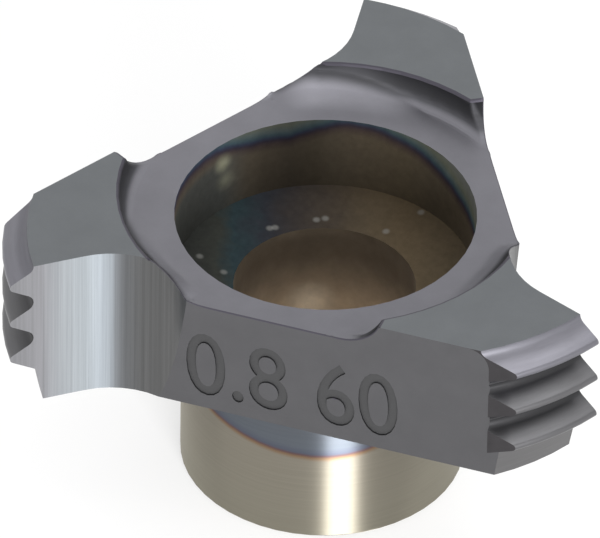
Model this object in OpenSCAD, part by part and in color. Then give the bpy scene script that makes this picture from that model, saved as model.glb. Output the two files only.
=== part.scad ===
// Three-lobed thread-milling insert, one solid body.
// It stands on its boss: origin on the tool axis at the boss foot, +Z up.
// The crest tip of the first lobe lies on +X and the tool turns towards +Y.

/* [Body] */
// overall height, boss foot to lobe tops
overall_h = 5.76; // [5.2:0.02:8]
// thickness of the lobed plate
plate_t = 3; // [2.8:0.05:3.4]
// diameter of the plain boss below the plate
boss_d = 5; // [4.6:0.02:5.1]
// chamfer round the boss foot
boss_chamfer = 0.06; // [0.04:0.01:0.25]

/* [Teeth] */
// cutting circle across the tooth crests
cutting_d = 11.84; // [11.6:0.02:12.2]
// thread pitch, 32 teeth to the inch
pitch = 0.79375; // [0.7:0.00125:0.85]
// angle between the two flanks of a tooth
thread_angle = 60; // [55:1:62]
// crest width as a share of the pitch
crest_share = 0.125; // [0.1:0.005:0.15]
// root width as a share of the pitch
root_share = 0.25; // [0.2:0.01:0.3]
// radius of the relieved land, struck off the tool axis
land_r = 4.7; // [4.5:0.05:5.2]
// relief angle of the land behind the cutting edge
relief_angle = 7.8; // [6:0.1:9]
// step of the plain lower land below the root radius
lower_land_step = 0.03; // [0.02:0.01:0.08]
// taper of the lower land, measured across its height
lower_land_taper = 0.14; // [0.05:0.01:0.2]

/* [Rake and flute] */
// positive rake angle of the cutting face
rake_angle = 4; // [2:0.5:6]
// flat length of the rake face from the crest tip
rake_len = 1.36; // [1.2:0.02:1.5]
// radius of the flute that follows the rake face
flute_r = 1.5; // [1.35:0.05:1.6]

/* [Flank] */
// wall between the counterbore and each flank's top edge
hub_wall = 0.57; // [0.5:0.01:0.66]
// turn of the flank against the lobe's radius
flank_angle = 18; // [17:0.5:19]
// inward lean of the flank towards the underside
flank_draft = 6.9; // [5:0.1:8]
// where the upright heel facet starts, along the flank
heel_start = 4.1; // [3.9:0.02:4.2]
// radius of the upper corner there
heel_round = 0.4; // [0.2:0.02:0.6]

/* [Dish and screw hole] */
// diameter of the dish in the top face
dish_d = 7.22; // [7:0.02:7.4]
// depth of the dish below the lobe tops
dish_depth = 0.5; // [0.4:0.01:0.55]
// radius round the dish floor
dish_fillet = 0.26; // [0.2:0.01:0.36]
// outward lean of the dish wall
dish_draft = 12; // [5:1:20]
// radius where the dish runs out through a flank
runout_r = 0.8; // [0.6:0.02:0.9]
// where that run-out reaches the dish floor, along the flank
runout_at = 1.33; // [1.25:0.01:1.4]
// how far inside the flank it starts
runout_in = 0.3; // [0.2:0.02:0.4]
// counterbore for the screw head
counterbore_d = 5.28; // [5:0.02:5.36]
// depth of the counterbore below the dish floor
counterbore_depth = 1.46; // [1.3:0.02:1.6]
// fall of the counterbore floor towards the screw hole
seat_fall = 0.14; // [0.1:0.01:0.3]
// clearance hole for the screw
screw_d = 3.2; // [2.8:0.02:3.4]

/* [Hidden] */
lobes = 3;
teeth = 3;
arc_steps = 6;
lobe_step = 360 / lobes;
half = 1 / 2;
plate_z = overall_h - plate_t;
counterbore_r = counterbore_d * half;
// distance of each flank's top edge from the tool axis
flank_d = counterbore_r + hub_wall;
crest_r = cutting_d * half;
// cuts run this far past the faces they leave
over = plate_t / 3;

// tooth form, measured from the land's own centre
flank_tan = tan(thread_angle * half);
crest_round = crest_share * pitch * half / flank_tan;
root_round = root_share * pitch * half / flank_tan;
tooth_h = (1 - crest_share - root_share) * pitch * half / flank_tan;
root_land_r = land_r - tooth_h;
lower_top_r = root_land_r - lower_land_step;
lower_end_r = lower_top_r - lower_land_taper;
crest_centre_r = land_r - crest_round;
root_centre_r = root_land_r + root_round;
first_crest_z = overall_h - pitch * half;
last_crest_z = first_crest_z - (teeth - 1) * pitch;
lower_land_z = last_crest_z - crest_share * pitch * half
    - (land_r - lower_top_r) * flank_tan;
land_x = crest_r - land_r * cos(relief_angle);
land_y = land_r * sin(relief_angle);

// flute, laid tangent to the rake line
rake_dx = -cos(rake_angle);
rake_dy = sin(rake_angle);
flute_start_x = crest_r + rake_len * rake_dx;
flute_start_y = rake_len * rake_dy;
flute_x = flute_start_x + flute_r * rake_dy;
flute_y = flute_start_y - flute_r * rake_dx;
// the flute's centre, measured along the next lobe's flank
flute_along = flute_x * cos(flank_angle + lobe_step)
    + flute_y * sin(flank_angle + lobe_step);

// flanks, cut from a round blank
flank_normal = flank_angle - 90;
flank_len = 2 * cutting_d;
blank_r = crest_r + over;
dish_z = overall_h - dish_depth;
dish_r = dish_d * half;
dish_flare = over * tan(dish_draft);
// centre of the fillet between the leaning wall and the floor
dish_floor_r = dish_r - dish_depth * tan(dish_draft)
    - dish_fillet * tan((90 - dish_draft) * half);
seat_z = dish_z - counterbore_depth;
screw_r = screw_d * half;
seat_end_z = seat_z - seat_fall;
boss_r = boss_d * half;

$fn = 96;

module around()
    for (i = [0 : lobes - 1])
        rotate([0, 0, i * lobe_step])
            children();

// points of an arc in the section plane, from one angle to another
function arc(x, z, r, a0, a1) =
    [for (i = [0 : arc_steps]) let (a = a0 + (a1 - a0) * i / arc_steps)
        [x + r * cos(a), z + r * sin(a)]];

// section through the toothed land, turned about the land's own centre
module land_section() {
    crest_sweep = 90 - thread_angle * half;
    polygon(concat(
        [[0, overall_h + over], [root_land_r, overall_h + over]],
        [for (k = [0 : teeth - 1]) each concat(
            arc(root_centre_r, overall_h - k * pitch, root_round,
                k == 0 ? 180 : 180 - crest_sweep, 180 + crest_sweep),
            arc(crest_centre_r, first_crest_z - k * pitch, crest_round,
                crest_sweep, -crest_sweep)
        )],
        [
            [lower_top_r, lower_land_z],
            [lower_end_r, plate_z],
            [lower_end_r, plate_z - over],
            [0, plate_z - over]
        ]
    ));
}

// everything of one lobe that lies outside its relieved land
module land_cut() {
    difference() {
        translate([land_r - land_x * half, -blank_r, plate_z - over * half])
            cube([blank_r, 2 * blank_r, plate_t + over]);
        translate([land_x, land_y, 0])
            rotate_extrude()
                land_section();
    }
}

// the rake face and the flute behind it
module flute_cut() {
    translate([0, 0, plate_z - over])
        linear_extrude(height = plate_t + 2 * over) {
            translate([flute_x, flute_y])
                circle(r = flute_r);
            translate([flute_start_x, flute_start_y])
                rotate(-rake_angle)
                    square([flank_len, flute_r]);
            translate([flute_x, flute_y])
                rotate(-rake_angle)
                    square(flank_len);
        }
}

// all that lies behind a lobe's flank: upright at the heel, leaning elsewhere
module flank_side() {
    rotate([0, 0, flank_normal])
        translate([flank_d, 0, overall_h]) {
            translate([0, flute_along, -plate_t - over])
                cube([flank_len, flank_len, plate_t + 2 * over]);
            intersection() {
                rotate([0, flank_draft, 0])
                    translate([0, flute_along, -2 * plate_t])
                        cube([flank_len, flank_len, 2 * plate_t]);
                heel_mask();
            }
        }
}

// where the flank leans: short of the heel, with a rounded upper corner,
// and right across below the teeth
module heel_mask() {
    translate([-flank_d, -flank_len, -2 * plate_t])
        cube([flank_len, flank_len + heel_start - heel_round, 3 * plate_t]);
    translate([-flank_d, -flank_len, -2 * plate_t])
        cube([flank_len, flank_len + heel_start, 2 * plate_t - heel_round]);
    translate([-flank_d, heel_start - heel_round, -heel_round])
        rotate([0, 90, 0])
            cylinder(r = heel_round, h = flank_len);
    translate([-flank_d, -flank_len, -2 * plate_t])
        cube([flank_len, 2 * flank_len, lower_land_z - overall_h + 2 * plate_t]);
}

// the gap from one lobe's rake face round to the next lobe's flank
module gap_cut() {
    flute_cut();
    rotate([0, 0, lobe_step])
        flank_side();
}

// the dish runs out through the flank with a round of its own
module runout_cut() {
    rotate([0, 0, flank_normal])
        translate([flank_d - runout_in, runout_at, dish_z + runout_r])
            rotate([0, 90, 0])
                cylinder(r = runout_r, h = runout_in + over);
}

// dish, counterbore, seat and screw hole, turned in one go
module bore_section() {
    polygon(concat(
        [
            [0, -over],
            [screw_r, -over],
            [screw_r, seat_end_z],
            [counterbore_r, seat_z],
            [counterbore_r, dish_z]
        ],
        arc(dish_floor_r, dish_z + dish_fillet, dish_fillet, -90, -dish_draft),
        [
            [dish_r + dish_flare, overall_h + over],
            [0, overall_h + over]
        ]
    ));
}

// the boss, chamfered round its foot
module boss_section() {
    polygon([
        [0, 0],
        [boss_r - boss_chamfer, 0],
        [boss_r, boss_chamfer],
        [boss_r, plate_z + over],
        [0, plate_z + over]
    ]);
}

module thread_mill_insert() {
    color("dimgray")
        difference() {
            union() {
                difference() {
                    translate([0, 0, plate_z])
                        cylinder(r = blank_r, h = plate_t);
                    around() {
                        land_cut();
                        gap_cut();
                        runout_cut();
                    }
                }
                rotate_extrude()
                    boss_section();
            }
            rotate_extrude()
                bore_section();
        }
}

thread_mill_insert();
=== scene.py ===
import math

import bpy
import bmesh
from mathutils import Matrix, Vector


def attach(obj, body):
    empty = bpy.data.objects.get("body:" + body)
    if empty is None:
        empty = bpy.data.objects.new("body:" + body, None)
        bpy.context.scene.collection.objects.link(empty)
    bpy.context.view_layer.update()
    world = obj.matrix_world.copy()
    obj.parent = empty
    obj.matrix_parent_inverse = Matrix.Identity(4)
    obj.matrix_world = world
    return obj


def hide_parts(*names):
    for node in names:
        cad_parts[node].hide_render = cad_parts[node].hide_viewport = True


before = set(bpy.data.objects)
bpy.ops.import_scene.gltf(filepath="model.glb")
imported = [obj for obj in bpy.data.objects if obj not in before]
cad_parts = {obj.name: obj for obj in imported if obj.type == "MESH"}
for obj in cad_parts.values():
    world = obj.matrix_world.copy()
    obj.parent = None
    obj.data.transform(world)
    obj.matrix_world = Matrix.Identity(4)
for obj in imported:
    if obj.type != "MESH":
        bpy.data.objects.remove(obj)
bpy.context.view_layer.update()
MM = 0.001

# The camera looks down on the insert from the front left, a long way off, as
# a product photographer's long lens does, so that upright edges stay upright.
overall_h = 5.76 * MM
camera_azimuth = math.radians(36.88)
camera_elevation = math.radians(39.0376)
camera_roll = math.radians(0.8331)
camera_distance = 282.4884 * MM
aim_right, aim_up = -0.4261 * MM, -1.7411 * MM
frame_right, frame_up = -0.0072 * MM, 0.0017 * MM
lens_mm, sensor_mm = 970.556, 36.0

back = Vector((
    math.sin(camera_azimuth) * math.cos(camera_elevation),
    -math.cos(camera_azimuth) * math.cos(camera_elevation),
    math.sin(camera_elevation),
))
level_right = Vector((math.cos(camera_azimuth), math.sin(camera_azimuth), 0))
level_up = back.cross(level_right)
right = math.cos(camera_roll) * level_right + math.sin(camera_roll) * level_up
up = math.cos(camera_roll) * level_up - math.sin(camera_roll) * level_right
stand = (back * camera_distance + level_right * aim_right
         + Vector((0, 0, aim_up + overall_h))
         + right * frame_right + up * frame_up)
camera_data = bpy.data.cameras.new("camera")
camera_data.lens = lens_mm
camera_data.sensor_width = sensor_mm
camera_data.clip_start, camera_data.clip_end = 0.01, 10
camera = bpy.data.objects.new("camera", camera_data)
camera.matrix_world = Matrix((
    (right.x, up.x, back.x, stand.x),
    (right.y, up.y, back.y, stand.y),
    (right.z, up.z, back.z, stand.z),
    (0, 0, 0, 1),
))
bpy.context.scene.collection.objects.link(camera)
bpy.context.scene.camera = camera
bpy.context.scene.view_settings.view_transform = "Standard"


# Insert body
# One piece of sintered and ground carbide. Its skin is the solid's own faces
# welded into one surface, worked on here in millimetres.
top_z, dish_z, plate_z = 5.76, 5.26, 2.76
boss_r, counterbore_r, screw_r, dish_r = 2.5, 2.64, 1.6, 3.61
lobe_step = math.radians(120)
flank_turn, flank_draft, flank_d = math.radians(18 - 90), math.radians(6.9), 3.21

weld = 1e-4
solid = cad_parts["thread_mill_insert"]
skin = bpy.data.meshes.new("insert_body")
bm = bmesh.new()
bm.from_mesh(solid.data)
bm.transform(Matrix.Scale(1 / MM, 4))
bmesh.ops.remove_doubles(bm, verts=bm.verts, dist=weld)
bm.to_mesh(skin)
bm.free()
body = bpy.data.objects.new("insert_body", skin)
bpy.context.scene.collection.objects.link(body)

# Size mark
# Plain numbers for pitch and thread angle, lasered a few hundredths of a
# millimetre into the first flank.
mark_start, mark_end, mark_depth = -1.5, 2.38, 0.035
mark_foot, mark_top = top_z - 2.68, top_z - 1.16
stroke_gain, curve_steps = 0.006, 5
graver_len = 4 * mark_depth
flank_out = Vector((math.cos(flank_turn), math.sin(flank_turn), 0))
flank_run = Vector((-math.sin(flank_turn), math.cos(flank_turn), 0))
flank_rise = (flank_out * math.tan(flank_draft) + Vector((0, 0, 1))).normalized()
flank_face = flank_run.cross(flank_rise)
words = bpy.data.curves.new("size_mark", "FONT")
words.body = "0.8 60"
words.resolution_u = curve_steps
words.offset = stroke_gain
letters = bpy.data.objects.new("size_mark", words)
bpy.context.scene.collection.objects.link(letters)
graver = bpy.data.meshes.new_from_object(
    letters.evaluated_get(bpy.context.evaluated_depsgraph_get()))
bpy.data.objects.remove(letters)
bm = bmesh.new()
bm.from_mesh(graver)
bmesh.ops.remove_doubles(bm, verts=bm.verts, dist=weld)
low_x, high_x = (f(v.co.x for v in bm.verts) for f in (min, max))
low_y, high_y = (f(v.co.y for v in bm.verts) for f in (min, max))
grown = bmesh.ops.extrude_face_region(bm, geom=bm.faces[:])
far_side = [v for v in grown["geom"] if isinstance(v, bmesh.types.BMVert)]
bmesh.ops.translate(bm, verts=far_side, vec=(0, 0, 1))
bmesh.ops.recalc_face_normals(bm, faces=bm.faces)
mark_root = (flank_out * (flank_d - (top_z - mark_foot) * math.tan(flank_draft))
             + flank_run * mark_start + Vector((0, 0, mark_foot)))
mark_height = (mark_top - mark_foot) / math.cos(flank_draft)
across = flank_run * ((mark_end - mark_start) / (high_x - low_x))
along = flank_rise * (mark_height / (high_y - low_y))
deep = flank_face * graver_len
base = mark_root - across * low_x - along * low_y - flank_face * mark_depth
bm.transform(Matrix((
    (across.x, along.x, deep.x, base.x),
    (across.y, along.y, deep.y, base.y),
    (across.z, along.z, deep.z, base.z),
    (0, 0, 0, 1))))
bm.to_mesh(graver)
bm.free()
tool = bpy.data.objects.new("graver", graver)
bpy.context.scene.collection.objects.link(tool)
cut = body.modifiers.new("mark", "BOOLEAN")
cut.operation, cut.solver, cut.object = "DIFFERENCE", "EXACT", tool
marked = bpy.data.meshes.new_from_object(
    body.evaluated_get(bpy.context.evaluated_depsgraph_get()))
body.modifiers.clear()
body.data = marked
bpy.data.objects.remove(tool)

# Ground faces
# Wheels of several shapes ground the carbide, and every face takes its finish
# from where it lies. The edges of the dish are broken by a fine hone.
finishes = [
    "coat", "top", "dish", "heel", "land", "rake", "bore", "seat", "throat",
    "boss", "foot", "mark", "edge"]
crest_r, rake_len, rake_angle, flute_r = 5.92, 1.36, math.radians(4), 1.5
flute_start = Vector((
    crest_r - rake_len * math.cos(rake_angle), rake_len * math.sin(rake_angle)))
flute_centre = flute_start + flute_r * Vector((math.sin(rake_angle), math.cos(rake_angle)))
land_centre, land_r, lower_end_r = Vector((1.2634, 0.6379)), 4.7, 4.1
lobe_turns = [Matrix.Rotation(-i * lobe_step, 3, "Z") for i in range(3)]
# how near a face lies to where its finish is looked for, closely, on the
# toothed lands, and in the dish, whose run-outs end inside this radius
fit, land_play, dish_reach = 0.012, 0.1, 4
# how level a flat face is, how upright a wall is, how nearly two directions agree
level, upright, alike, same = 0.99, 0.02, 0.999, 0.9999


def finish_of(at, normal):
    reach = at.xy.length
    inward = normal.xy.dot(at.xy) < -0.2 * reach
    from_mark_floor = abs((at - mark_root).dot(flank_face) + mark_depth)
    if from_mark_floor < fit and normal.dot(flank_face) > 0.9:
        return "mark"
    if reach < screw_r + fit and inward:
        return "throat"
    if (reach < counterbore_r + fit and at.z < dish_z - fit
            and (inward or normal.z > 0.5)):
        return "seat" if normal.z > 0.5 else "bore"
    if reach < boss_r + fit and at.z < plate_z - fit:
        return "foot" if normal.z < -0.9 else "boss"
    if abs(normal.z) > level:
        if normal.z < 0:
            return "coat"
        return "top" if at.z > dish_z + fit else "dish"
    if at.z > dish_z and reach < dish_reach and (inward or normal.z > 0.1):
        return "dish"
    for turn in lobe_turns:
        here, faces = turn @ at, turn @ normal
        if abs(normal.z) < upright:
            if abs((here.xy - flute_centre).length - flute_r) < fit:
                return "rake"
            if faces.y > level and here.x > flute_start.x and here.y > -fit:
                return "rake"
            if (faces.dot(flank_out) > alike
                    and abs(here.dot(flank_out) - flank_d) < fit):
                return "heel"
        if faces.dot(flank_face) > same:
            return "coat"
        spoke = here.xy - land_centre
        outward = faces.xy.dot(spoke) > 0.3 * spoke.length * faces.xy.length
        if (outward and here.x > crest_r / 2
                and lower_end_r - land_play < spoke.length < land_r + land_play):
            return "land"
    return "coat"


flat_angle = math.radians(0.1)
bm = bmesh.new()
bm.from_mesh(body.data)
bmesh.ops.dissolve_limit(bm, angle_limit=flat_angle, verts=bm.verts, edges=bm.edges)
for face in bm.faces:
    finish = finish_of(face.calc_center_median(), face.normal)
    face.material_index = finishes.index(finish)

# The floor of the dish climbs towards each flute in a soft slope, up to the
# lobe's top at the flute and down again to the next flank.
slope_inner, slope_bow, slope_fall, slope_cuts = 2.95, 1.6, 0.8, 4
slope_start, slope_peak, slope_end = (math.radians(a) for a in (-28, 9.15, 23.5))
flute_swing, flute_out = math.atan2(flute_centre.y, flute_centre.x), flute_centre.length
dish_index = finishes.index("dish")
least_lift = 1e-4


# How far the slope lifts a point of the dish floor
def slope_rise(at):
    for turn in lobe_turns:
        here = turn @ at
        angle = math.atan2(here.y, here.x)
        if not slope_start < angle < slope_end:
            continue
        rim = min(dish_r, flank_d / math.cos(lobe_step + flank_turn - angle))
        aside = flute_out * math.sin(angle - flute_swing)
        if abs(aside) < flute_r:
            ahead = flute_out * math.cos(angle - flute_swing)
            rim = min(rim, ahead - math.sqrt(flute_r ** 2 - aside ** 2))
        across = (here.xy.length - slope_inner) / (rim - slope_inner)
        across = min(max(across, 0), 1)
        if angle < slope_peak:
            along = (angle - slope_start) / (slope_peak - slope_start)
            along = along * along * (3 - 2 * along)
        else:
            along = ((slope_end - angle) / (slope_end - slope_peak)) ** slope_fall
        return (top_z - dish_z) * across ** slope_bow * along
    return 0


flat = [f for f in bm.faces if f.material_index == dish_index and f.normal.z > level]
dished = bmesh.ops.triangulate(bm, faces=flat)["faces"]
dished += [f for f in bm.faces if f.material_index == dish_index
           and f.normal.z <= level and max(v.co.z for v in f.verts) < top_z - fit]
bmesh.ops.subdivide_edges(
    bm, edges=list(dict.fromkeys(e for f in dished for e in f.edges)),
    cuts=slope_cuts, use_grid_fill=True)
for vert in bm.verts:
    if not dish_z - fit < vert.co.z < top_z - least_lift or all(
            f.material_index != dish_index for f in vert.link_faces):
        continue
    climbed = max(vert.co.z - dish_z, 0)
    lift = (climbed ** 3 + slope_rise(vert.co) ** 3) ** (1 / 3) - climbed
    if lift > least_lift:
        # a point on a leaning flank stays on it
        for turn in lobe_turns:
            here = turn @ vert.co
            lean = (top_z - here.z) * math.tan(flank_draft)
            if abs(here.dot(flank_out) - flank_d + lean) < fit:
                vert.co += turn.inverted() @ flank_out * lift * math.tan(flank_draft)
        vert.co.z += lift
bm.normal_update()

# The hone takes twice as much off the lobes' edges as off the flanks'.
edge_break, hone_angle = 0.022, math.radians(35)
for width, pairs in (
        (2 * edge_break, ({"top", "dish"},)),
        (edge_break, ({"dish", "coat"}, {"dish", "rake"}))):
    edges = [e for e in bm.edges
             if {finishes[f.material_index] for f in e.link_faces} in pairs
             and e.calc_face_angle() > hone_angle]
    honed = bmesh.ops.bevel(
        bm, geom=edges, offset=width, offset_type="OFFSET", segments=2,
        profile=0.5, affect="EDGES", clamp_overlap=False, material=-1)
    for face in honed["faces"]:
        face.material_index = finishes.index("edge")

soft_angle, dish_soft_angle = math.radians(24), math.radians(60)
for face in bm.faces:
    face.smooth = finishes[face.material_index] != "edge"
for edge in bm.edges:
    in_dish = all(f.material_index == dish_index for f in edge.link_faces)
    edge.smooth = edge.calc_face_angle(0) < (dish_soft_angle if in_dish else soft_angle)
bm.transform(Matrix.Scale(MM, 4))
bm.to_mesh(body.data)
bm.free()
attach(body, "root")
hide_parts("thread_mill_insert")

# Hard coating
# A thin dark blue-grey layer on all the ground faces. It looks cooler on the
# lobe tops and purple in the dish.


# One socket of a shader tree, so that shader sums read as plain sums
class Value:
    def __init__(self, tree, socket):
        self.tree, self.socket = tree, socket

    def math(self, operation, *others):
        return self.tree.node("ShaderNodeMath", {"operation": operation},
                              dict(enumerate((self, *others))))

    def __add__(self, other):
        return self.math("ADD", other)

    def __radd__(self, other):
        return self.math("ADD", other)

    def __sub__(self, other):
        return self.math("SUBTRACT", other)

    def __rsub__(self, other):
        return self.tree.node("ShaderNodeMath", {"operation": "SUBTRACT"},
                              {0: other, 1: self})

    def __mul__(self, other):
        return self.math("MULTIPLY", other)

    def __rmul__(self, other):
        return self.math("MULTIPLY", other)

    def __truediv__(self, other):
        return self.math("DIVIDE", other)

    def __pow__(self, other):
        return self.math("POWER", other)

    # 0 below low, 1 above high, and smooth between the two
    def step(self, low, high):
        return self.tree.node(
            "ShaderNodeMapRange", {"interpolation_type": "SMOOTHSTEP"},
            {"Value": self, "From Min": low, "From Max": high})


# A finish's node tree
class Finish:
    def __init__(self, name):
        self.material = bpy.data.materials.new(name)
        self.material.use_nodes = True
        self.nodes = self.material.node_tree.nodes
        self.links = self.material.node_tree.links
        self.nodes.clear()
        self.out = self.nodes.new("ShaderNodeOutputMaterial")

    def node(self, kind, settings=None, sockets=None, output=0):
        made = self.nodes.new(kind)
        for key, value in (settings or {}).items():
            if key == "stops":
                ramp = made.color_ramp
                while len(ramp.elements) < len(value):
                    ramp.elements.new(0.5)
                for element, (at, colour) in zip(ramp.elements, value):
                    element.position = at
                    element.color = (*colour, 1)
            else:
                setattr(made, key, value)
        for key, value in (sockets or {}).items():
            if isinstance(value, Value):
                self.links.new(value.socket, made.inputs[key])
            else:
                made.inputs[key].default_value = value
        return Value(self, made.outputs[output])

    def ramp(self, value, stops):
        return self.node("ShaderNodeValToRGB", {"stops": stops}, {0: value})

    # one colour laid over another where the mask is 1
    def lay(self, mask, under, over, blend="MIX"):
        under, over = (c if isinstance(c, Value) else (*c, 1) for c in (under, over))
        return self.node("ShaderNodeMix", {"data_type": "RGBA", "blend_type": blend},
                         {0: mask, 6: under, 7: over}, 2)


# A metal finish from its colour, roughness, grain and pull of the grind
def metal(finish, colour, roughness, normal=None, grind=0.0, metallic=1.0):
    sockets = {
        "Base Color": colour if isinstance(colour, Value) else (*colour, 1),
        "Metallic": metallic, "Roughness": roughness,
        "Anisotropic": grind, "Anisotropic Rotation": 0.25}
    if normal is not None:
        sockets["Normal"] = normal
    shader = finish.node("ShaderNodeBsdfPrincipled", None, sockets)
    finish.links.new(shader.socket, finish.out.inputs[0])
    body.data.materials.append(finish.material)


# Position on the piece in millimetres, as a vector and as its x, y and z
def place(finish):
    at = finish.node("ShaderNodeVectorMath", {"operation": "SCALE"}, {
        0: finish.node("ShaderNodeTexCoord", output="Object"), "Scale": 1 / MM})
    return at, *(finish.node("ShaderNodeSeparateXYZ", None, {0: at}, axis)
                 for axis in range(3))


# Distance from the tool axis
def reach_of(x, y):
    return (x * x + y * y) ** 0.5


def noise(finish, at, scale, detail=3.0, rough=0.6):
    return finish.node("ShaderNodeTexNoise", None, {
        "Vector": at, "Scale": scale, "Detail": detail, "Roughness": rough})


def stretched(finish, x, y, z):
    return finish.node("ShaderNodeCombineXYZ", None, {0: x, 1: y, 2: z})


def bumped(finish, height, strength, distance):
    return finish.node("ShaderNodeBump", None, {
        "Strength": strength, "Distance": distance * MM, "Height": height})


def shaded(finish, colour, amount):
    return finish.node("ShaderNodeVectorMath", {"operation": "SCALE"},
                       {0: colour, "Scale": amount})


grain_scale, fine_scale = 1.6, 30.0
# The lobe tops get a lighter, cooler copy of the coat's colour: partly the coating's hue
# there, partly painted light on the faces turned up to the room.
for name, colour in (
        ("coated_carbide", (0.121, 0.12, 0.126)),
        ("coated_top", (0.166, 0.176, 0.185))):
    coat = Finish(name)
    at, x, y, z = place(coat)
    grain, fine = noise(coat, at, grain_scale), noise(coat, at, fine_scale)
    metal(coat, shaded(coat, colour, 0.86 + grain * 0.2 + fine * 0.08), 0.33,
          bumped(coat, fine, 0.25, 0.002))

dish = Finish("coated_dish")
at, x, y, z = place(dish)
grain, fine = noise(dish, at, 1.3), noise(dish, at, fine_scale)
reach = reach_of(x, y)
floor_purple = (0.2, 0.198, 0.219)
# the wall is painted darker up towards the lobe tops, a painted shade standing in for the
# wall's dark reflection of the dish
wall = dish.ramp((z - dish_z) * 2, [
    (0.0, (0.13, 0.13, 0.143)),
    (0.22, (0.085, 0.085, 0.093)),
    (0.5, (0.052, 0.052, 0.056)),
    (1.0, (0.026, 0.026, 0.029))])
colour = dish.lay(z.step(5.27, 5.38) * reach.step(3.3, 3.5), floor_purple, wall)
# the dish grows a little lighter towards its far side
deep = y * math.cos(camera_azimuth) - x * math.sin(camera_azimuth)
dish_tone = 0.84 + grain * 0.26 + fine * 0.08 + deep * 0.024
rough = 0.42 + z.step(5.27, 5.42) * 0.2 + reach.step(3.63, 3.7) * 0.3
metal(dish, shaded(dish, colour, dish_tone), rough, bumped(dish, fine, 0.25, 0.002))

heel = Finish("ground_heel")
at, x, y, z = place(heel)
metal(heel, shaded(heel, (0.062, 0.059, 0.062), 0.8 + noise(heel, at, 4.0) * 0.4), 0.4)

# The roots of the lower teeth are painted darker, a painted shade under each crest.
land = Finish("ground_land")
at, x, y, z = place(land)
pitch, tooth_one_end, tooth_three_end = 0.79375, 5.0, 3.5
lines = noise(land, stretched(land, x * 1.5, y * 1.5, z * 24), 1.0)
phase = ((top_z - z) / pitch).math("FRACT")
lower = 1 - z.step(tooth_one_end - 0.05, tooth_one_end + 0.1)
plain = 1 - z.step(tooth_three_end, tooth_three_end + 0.1)
# painted shade in the root below each crest of the lower teeth
root = (1 - phase.step(0.1, 0.5)) * (1 - z.step(tooth_one_end, tooth_one_end + 0.1))
tone = land.lay(lower, (0.195, 0.193, 0.217), (0.152, 0.151, 0.157))
tone = land.lay(plain, tone, (0.162, 0.16, 0.162))
tone = land.lay(root * (1 - plain) * 0.88, tone, (0.035, 0.035, 0.037))
collar = z.step(5.5, 5.62)
metal(land, shaded(land, tone, 0.85 + lines * 0.3 - collar * 0.15),
      0.36 + collar * 0.2, bumped(land, lines, 0.2, 0.002))

# The rake face is ground upright; its colour is painted lightest halfway to the flute, a
# painted highlight.
rake = Finish("ground_rake")
at, x, y, z = place(rake)
hub_end, rake_span = 3.4, 2.6
lines = noise(rake, stretched(rake, x * 14, y * 14, z * 0.1), 1.0, 5.0, 0.75)
tone = rake.ramp((reach_of(x, y) - hub_end) / rake_span, [
    (0.0, (0.128, 0.128, 0.128)),
    (0.11, (0.13, 0.131, 0.132)),
    (0.2, (0.158, 0.163, 0.17)),
    (0.245, (0.21, 0.222, 0.236)),
    (0.275, (0.29, 0.315, 0.34)),
    (0.34, (0.325, 0.355, 0.385)),
    (0.44, (0.36, 0.39, 0.415)),
    (0.6, (0.34, 0.36, 0.38)),
    (0.75, (0.265, 0.265, 0.28)),
    (1.0, (0.225, 0.225, 0.235))])
metal(rake, shaded(rake, tone, 0.55 + lines * 0.9), 0.34,
      bumped(rake, lines, 0.3, 0.003), grind=0.6)

# Screw hole
# The coating thins out down the hole, through the colours of thin layers, to
# the brown of the bare carbide, and the seat was rubbed by the screw head.


# Distance to the right of the tool axis, as the camera sees it
def side_of(x, y):
    return x * math.cos(camera_azimuth) + y * math.sin(camera_azimuth)


# 1 inside a small round spot
def speck(finish, at, centre, size, core=0.3):
    away = finish.node("ShaderNodeVectorMath", {"operation": "DISTANCE"},
                       {0: at, 1: centre}, 1)
    return 1 - away.step(size * core, size)


bore = Finish("tinted_bore")
at, x, y, z = place(bore)
side, sunk = side_of(x, y), dish_z - z
round_wall = (side + counterbore_r) / (2 * counterbore_r)
# how far down the coating's edge lies, round the wall
line = bore.ramp(round_wall, [
    (0.0, (0.05,) * 3),
    (0.13, (0.1,) * 3),
    (0.25, (0.3,) * 3),
    (0.38, (0.36,) * 3),
    (0.46, (0.22,) * 3),
    (0.54, (0.08,) * 3),
    (0.66, (0.08,) * 3),
    (0.76, (0.2,) * 3),
    (0.82, (0.27,) * 3),
    (0.88, (0.42,) * 3),
    (0.93, (0.55,) * 3),
    (1.0, (0.75,) * 3)])
tint = bore.ramp(sunk - line + 0.45 + noise(bore, at, 2.0) * 0.1, [
    (0.0, (0.1, 0.104, 0.095)),
    (0.2, (0.095, 0.102, 0.08)),
    (0.32, (0.07, 0.088, 0.085)),
    (0.4, (0.042, 0.064, 0.072)),
    (0.47, (0.03, 0.036, 0.055)),
    (0.53, (0.032, 0.026, 0.034)),
    (0.6, (0.05, 0.038, 0.035)),
    (0.74, (0.075, 0.062, 0.045))])
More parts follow.
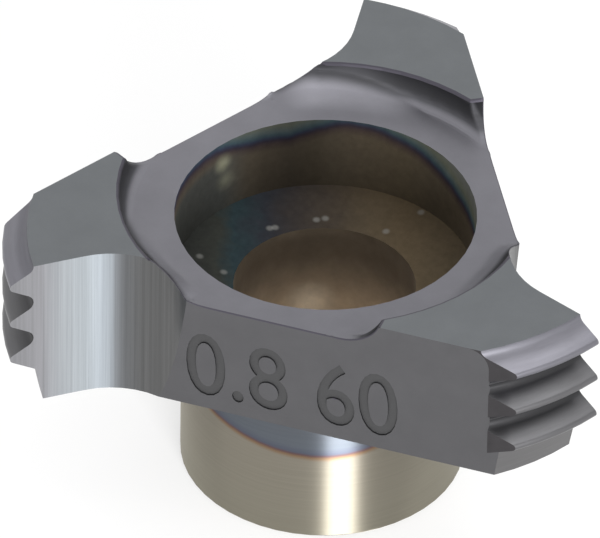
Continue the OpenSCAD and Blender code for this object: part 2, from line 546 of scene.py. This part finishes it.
# brightness round the wall as the camera sees it: painted light and shade, dark on the far
# wall and lighter at its sides
glow = bore.ramp(round_wall, [
    (0.0, (0.7, 0.72, 0.78)),
    (0.13, (0.78, 0.8, 0.84)),
    (0.21, (0.6, 0.61, 0.63)),
    (0.3, (0.36, 0.36, 0.37)),
    (0.38, (0.27, 0.27, 0.28)),
    (0.46, (0.31,) * 3),
    (0.53, (0.46,) * 3),
    (0.61, (0.6, 0.59, 0.58)),
    (0.77, (0.75, 0.74, 0.7)),
    (0.86, (0.7,) * 3),
    (1.0, (0.85,) * 3)])
tint = bore.lay(1.0, tint, glow, "MULTIPLY")
left_wall = (1 - side.step(-1.9, -1.3)) * sunk.step(0.25, 0.5)
tint = bore.lay(left_wall, tint, (0.04, 0.041, 0.038))
spots = (speck(bore, at, (-2.6, 0.44, 4.82), 0.27, 0.0)
         + speck(bore, at, (-2.59, 0.51, 4.42), 0.3, 0.0) * 0.5)
tint = bore.lay(spots, tint, (0.13, 0.13, 0.095))
metal(bore, shaded(bore, tint, 1.75 + noise(bore, at, 7.0)), 0.75)

seat = Finish("tinted_seat")
at, x, y, z = place(seat)
patch, fine = noise(seat, at, 1.8), noise(seat, at, 7.0)
along = side_of(x, y) + counterbore_r + (patch - 0.5) * 0.8
tint = seat.ramp(along / (2 * counterbore_r), [
    (0.0, (0.056, 0.058, 0.056)),
    (0.14, (0.072, 0.076, 0.067)),
    (0.21, (0.05, 0.078, 0.088)),
    (0.29, (0.053, 0.058, 0.07)),
    (0.38, (0.07, 0.062, 0.06)),
    (0.5, (0.1, 0.082, 0.066)),
    (0.66, (0.16, 0.126, 0.084)),
    (0.76, (0.17, 0.131, 0.084)),
    (1.0, (0.14, 0.112, 0.076))])
# small light specks laid on the seat
speck_size = 0.09
light_specks = sum(speck(seat, at, spot, speck_size) for spot in (
    (-1.64, 0.72, 3.69), (-1.7, 0.64, 3.7), (-1.2, 1.34, 3.69), (-1.1, 1.46, 3.69),
    (-0.04, 1.83, 3.69), (0.19, 2.54, 3.79), (-1.59, -0.82, 3.69),
    (-2.14, -0.8, 3.75)))
tint = seat.lay(light_specks * 0.5, tint, (0.4, 0.4, 0.38))
metal(seat, shaded(seat, tint, 0.75 + fine * 0.5), 0.75)

# The screw's clearance hole is bare; it is painted lighter towards the foot, with a
# painted glow spot, both painted light.
throat = Finish("bare_throat")
at, x, y, z = place(throat)
tint = throat.lay(z.step(1.7, 3.3), (0.6, 0.5, 0.38), (0.2, 0.165, 0.125))
painted_glow_spot = speck(throat, at, (-1.16, 1.1, 2.0), 0.6, 0.0)
tint = throat.lay(painted_glow_spot * 0.7, tint, (0.95, 0.88, 0.75))
metal(throat, shaded(throat, tint, 0.8 + noise(throat, at, 3.0) * 0.5), 0.8)

# Locating boss
# Ground round and left bare below the edge of the coating, which ends in a
# narrow run of tempering colours. The foot is lapped flat.
boss = Finish("ground_boss")
at, x, y, z = place(boss)
turned = noise(boss, stretched(boss, x * 0.3, y * 0.3, z * 30), 1.0)
side, ramp_top = side_of(x, y), 3
sag = side * side * (0.083 + 0.077 * side.step(-0.3, 0.3))
height = z - sag - noise(boss, at, 0.5) * 0.06
tone = boss.ramp(height / ramp_top, [
    (0.0, (0.3, 0.28, 0.225)),
    (0.56, (0.3, 0.275, 0.225)),
    (0.585, (0.27, 0.18, 0.11)),
    (0.6, (0.16, 0.1, 0.1)),
    (0.615, (0.12, 0.13, 0.17)),
    (0.66, (0.15, 0.168, 0.194)),
    (1.0, (0.17, 0.182, 0.198))])
metal(boss, shaded(boss, tone, 0.9 + turned * 0.2), 0.42,
      bumped(boss, turned, 0.15, 0.002), grind=1.0)
metal(Finish("lapped_foot"), (0.3, 0.28, 0.225), 0.42)

# Lasered mark and honed edges
# The laser leaves the coating matt and nearly black. The honed edges are
# painted dark, a painted dark reflection along each rounded edge.
metal(Finish("lasered_mark"), (0.022, 0.022, 0.023), 0.7, metallic=0.0)
metal(Finish("honed_edge"), (0.085, 0.08, 0.098), 0.4)

# Table
# A wide sheet of white paper; it shows white to the eye and in the metal, and
# keeps the shadow of the insert.
paper = bpy.data.meshes.new("floor")
half_width, below_foot = 3, 0.002 * MM
bm = bmesh.new()
bmesh.ops.create_grid(bm, x_segments=1, y_segments=1, size=half_width,
                      matrix=Matrix.Translation((0, 0, -below_foot)))
bm.to_mesh(paper)
bm.free()
table = bpy.data.objects.new("floor", paper)
bpy.context.scene.collection.objects.link(table)
white = Finish("floor_white")
look = white.node("ShaderNodeLightPath", output="Is Camera Ray").math(
    "MAXIMUM", white.node("ShaderNodeLightPath", output="Is Glossy Ray"))
matte = white.node("ShaderNodeBsdfDiffuse", None, {"Color": (0.9, 0.9, 0.9, 1)})
glow = white.node("ShaderNodeEmission", None, {"Color": (1, 1, 1, 1)})
white_share = 0.6
mixed = white.node("ShaderNodeMixShader", None, {
    0: look * white_share, 1: matte, 2: glow})
white.links.new(mixed.socket, white.out.inputs[0])
paper.materials.append(white.material)

# Light
# A plain white room, a strip softbox low at the front right that draws the
# upright highlights, and a softbox high at the right for the tooth flanks.
world = bpy.data.worlds.new("studio")
bpy.context.scene.world = world
world.use_nodes = True
room = world.node_tree.nodes["Background"]
room.inputs["Color"].default_value = (1, 1, 1, 1)
room.inputs["Strength"].default_value = 1


# A softbox at an azimuth from the camera and a height, facing the insert
def softbox(name, turn, climb, distance, wide, tall, radiance):
    box = bpy.data.lights.new(name, "AREA")
    box.shape, box.size, box.size_y = "RECTANGLE", wide, tall
    box.energy = radiance * wide * tall * math.pi
    lamp = bpy.data.objects.new(name, box)
    a, e = camera_azimuth + math.radians(turn), math.radians(climb)
    away = Vector((math.sin(a) * math.cos(e), -math.cos(a) * math.cos(e), math.sin(e)))
    lamp.location = away * distance
    lamp.rotation_mode = "QUATERNION"
    lamp.rotation_quaternion = away.to_track_quat("Z", "Y")
    lamp.visible_camera = False
    bpy.context.scene.collection.objects.link(lamp)


softbox("front_strip", 14, 13, 0.5, 0.18, 0.21, 34)
softbox("right_top", 85, 65, 0.5, 0.25, 0.25, 2)
